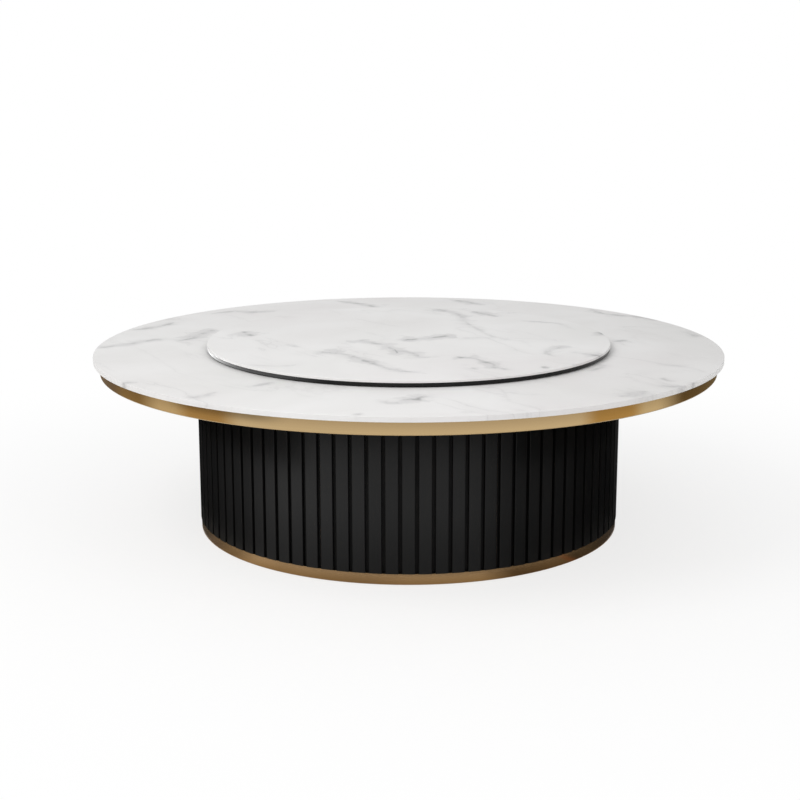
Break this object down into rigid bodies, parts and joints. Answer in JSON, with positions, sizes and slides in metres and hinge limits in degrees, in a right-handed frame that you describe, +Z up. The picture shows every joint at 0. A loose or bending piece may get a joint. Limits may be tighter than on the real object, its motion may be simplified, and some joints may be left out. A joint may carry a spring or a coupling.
{
  "type": "dining table with lazy susan",
  "caption": "Round banquet table: white veined stone ring with a brass-coloured rim on a black slatted drum, and a hand-turned stone lazy susan on a ball bearing.",
  "frame": {"origin": "centre of the table on the floor", "axes": "+Z up along the axis of the lazy susan, -Y towards the picture's viewer"},
  "size_m": [2.5996, 2.5996, 0.777],
  "materials": {
    "white_stone": "polished white with thin grey veins",
    "brass_finished_steel": "brushed, brass-coloured coating",
    "black_lacquered_slat": "satin black lacquer",
    "black_backed_plywood": "bent plywood, stained black outside",
    "plywood": "plain birch plywood",
    "timber": "planed softwood",
    "black_lacquered_board": "gloss black lacquer",
    "black_painted_steel": "black powder coat",
    "zinc_plated_steel": "bright zinc plate",
    "plain_aluminium": "turned",
    "white_nylon": "moulded nylon",
    "black_nylon": "moulded nylon",
    "bearing_steel": "polished",
    "grey_rubber": "soft grey tread"
  },
  "bodies": {
    "root": {"arm_screws": "zinc_plated_steel", "base_board_left": "plywood", "base_board_right": "plywood", "base_curb": "plywood", "bearing_lower_ring": "plain_aluminium", "bearing_screws_lower": "zinc_plated_steel", "board_straps": "black_painted_steel", "drum_panel_1": "black_backed_plywood", "drum_panel_2": "black_backed_plywood", "drum_panel_3": "black_backed_plywood", "drum_panel_4": "black_backed_plywood", "drum_panel_5": "black_backed_plywood", "drum_panel_6": "black_backed_plywood", "drum_panel_7": "black_backed_plywood", "drum_panel_8": "black_backed_plywood", "drum_studs": "timber", "drum_top_ring": "plywood", "edge_band": "brass_finished_steel", "fascia_arcs": "plywood", "fascia_screws": "zinc_plated_steel", "floor_glides": "black_nylon", "frame_arms": "black_painted_steel", "frame_hub": "black_painted_steel", "frame_nuts": "zinc_plated_steel", "hub_bolts": "zinc_plated_steel", "plinth_trim": "brass_finished_steel", "ring_bolts": "zinc_plated_steel", "roller_axles": "zinc_plated_steel", "roller_brackets": "zinc_plated_steel", "roller_screws": "zinc_plated_steel", "slat_set_1": "black_lacquered_slat", "slat_set_2": "black_lacquered_slat", "slat_set_3": "black_lacquered_slat", "slat_set_4": "black_lacquered_slat", "slat_set_5": "black_lacquered_slat", "slat_set_6": "black_lacquered_slat", "slat_set_7": "black_lacquered_slat", "slat_set_8": "black_lacquered_slat", "stone_top_1": "white_stone", "stone_top_2": "white_stone", "stone_top_3": "white_stone", "stone_top_4": "white_stone", "strap_screws": "zinc_plated_steel", "stud_screws_lower": "zinc_plated_steel", "stud_screws_upper": "zinc_plated_steel", "top_board_left": "plywood", "top_board_right": "plywood"},
    "turntable": {"bearing_upper_ring": "plain_aluminium", "bearing_screws_upper": "zinc_plated_steel", "turntable_board": "black_lacquered_board", "turntable_stone": "white_stone"},
    "cage": {"ball_cage": "white_nylon", "bearing_balls": "bearing_steel"},
    "wheel_1": {"roller_wheel_1": "grey_rubber"},
    "wheel_2": {"roller_wheel_2": "grey_rubber"},
    "wheel_3": {"roller_wheel_3": "grey_rubber"},
    "wheel_4": {"roller_wheel_4": "grey_rubber"},
    "wheel_5": {"roller_wheel_5": "grey_rubber"},
    "wheel_6": {"roller_wheel_6": "grey_rubber"}
  },
  "joints": [
    {"name": "turntable_spin", "type": "hinge", "parent": "root", "child": "turntable", "pos_m": [0, 0, 0.7425], "axis": [0, 0, 1], "continuous": true},
    {"name": "cage_spin", "type": "hinge", "parent": "root", "child": "cage", "pos_m": [0, 0, 0.7425], "axis": [0, 0, 1], "continuous": true},
    {"name": "wheel_1_spin", "type": "hinge", "parent": "root", "child": "wheel_1", "pos_m": [0.7, 0, 0.7437], "axis": [1, 0, 0], "continuous": true},
    {"name": "wheel_2_spin", "type": "hinge", "parent": "root", "child": "wheel_2", "pos_m": [0.35, 0.60622, 0.7437], "axis": [0.5, 0.866, 0], "continuous": true},
    {"name": "wheel_3_spin", "type": "hinge", "parent": "root", "child": "wheel_3", "pos_m": [-0.35, 0.60622, 0.7437], "axis": [-0.5, 0.866, 0], "continuous": true},
    {"name": "wheel_4_spin", "type": "hinge", "parent": "root", "child": "wheel_4", "pos_m": [-0.7, 0, 0.7437], "axis": [-1, 0, 0], "continuous": true},
    {"name": "wheel_5_spin", "type": "hinge", "parent": "root", "child": "wheel_5", "pos_m": [-0.35, -0.60622, 0.7437], "axis": [-0.5, -0.866, 0], "continuous": true},
    {"name": "wheel_6_spin", "type": "hinge", "parent": "root", "child": "wheel_6", "pos_m": [0.35, -0.60622, 0.7437], "axis": [0.5, -0.866, 0], "continuous": true}
  ],
  "couplings": [
    {"joint": "cage_spin", "follows": "turntable_spin", "ratio": 0.5},
    {"joint": "wheel_1_spin", "follows": "turntable_spin", "ratio": -63.636},
    {"joint": "wheel_2_spin", "follows": "turntable_spin", "ratio": -63.636},
    {"joint": "wheel_3_spin", "follows": "turntable_spin", "ratio": -63.636},
    {"joint": "wheel_4_spin", "follows": "turntable_spin", "ratio": -63.636},
    {"joint": "wheel_5_spin", "follows": "turntable_spin", "ratio": -63.636},
    {"joint": "wheel_6_spin", "follows": "turntable_spin", "ratio": -63.636}
  ]
}
